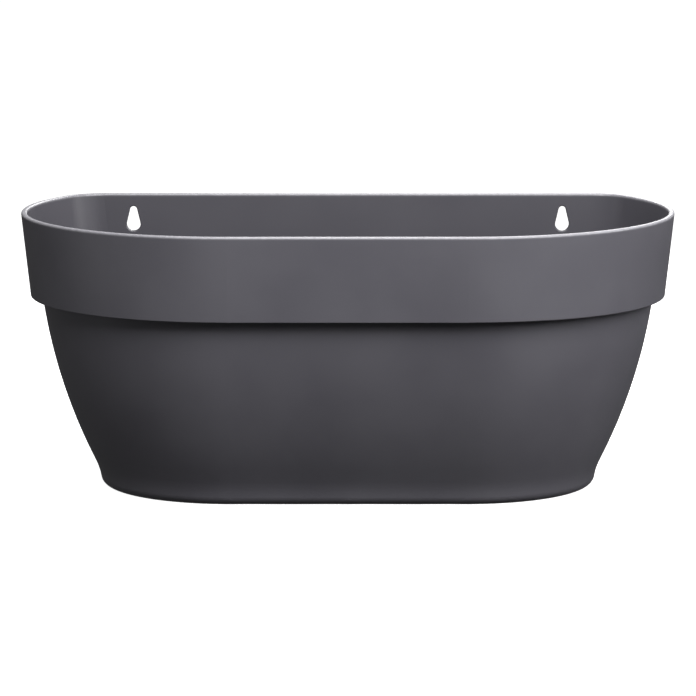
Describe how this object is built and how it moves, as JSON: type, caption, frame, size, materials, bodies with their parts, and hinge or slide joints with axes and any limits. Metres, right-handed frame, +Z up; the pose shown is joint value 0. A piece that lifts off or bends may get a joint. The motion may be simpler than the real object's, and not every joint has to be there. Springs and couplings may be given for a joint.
{
  "type": "wall planter",
  "caption": "Oval trough planter with a flat back, a proud collar and teardrop keyholes for hanging on a wall, with a lift-out drainage plate and drain plugs.",
  "frame": {"origin": "middle of the footprint box, on the surface that the planter stands on", "axes": "+X along the width, +Y from the front towards the wall, +Z up"},
  "size_m": [0.3998, 0.2149, 0.169],
  "materials": {
    "shell_plastic": "satin moulded plastic, anthracite",
    "plate_plastic": "matt moulded plastic, black",
    "plug_rubber": "soft matt rubber, black"
  },
  "bodies": {
    "shell": {"planter_shell": "shell_plastic"},
    "plate": {"reservoir_plate": "plate_plastic"},
    "plug_left": {"drain_plug_left": "plug_rubber"},
    "plug_right": {"drain_plug_right": "plug_rubber"}
  },
  "joints": [
    {"name": "plate_lift", "type": "slide", "parent": "shell", "child": "plate", "axis": [0, 0, 1], "range_m": [0, 0.175]},
    {"name": "plug_left_pull", "type": "slide", "parent": "shell", "child": "plug_left", "axis": [0, 0, 1], "range_m": [0, 0.012]},
    {"name": "plug_right_pull", "type": "slide", "parent": "shell", "child": "plug_right", "axis": [0, 0, 1], "range_m": [0, 0.012]}
  ]
}
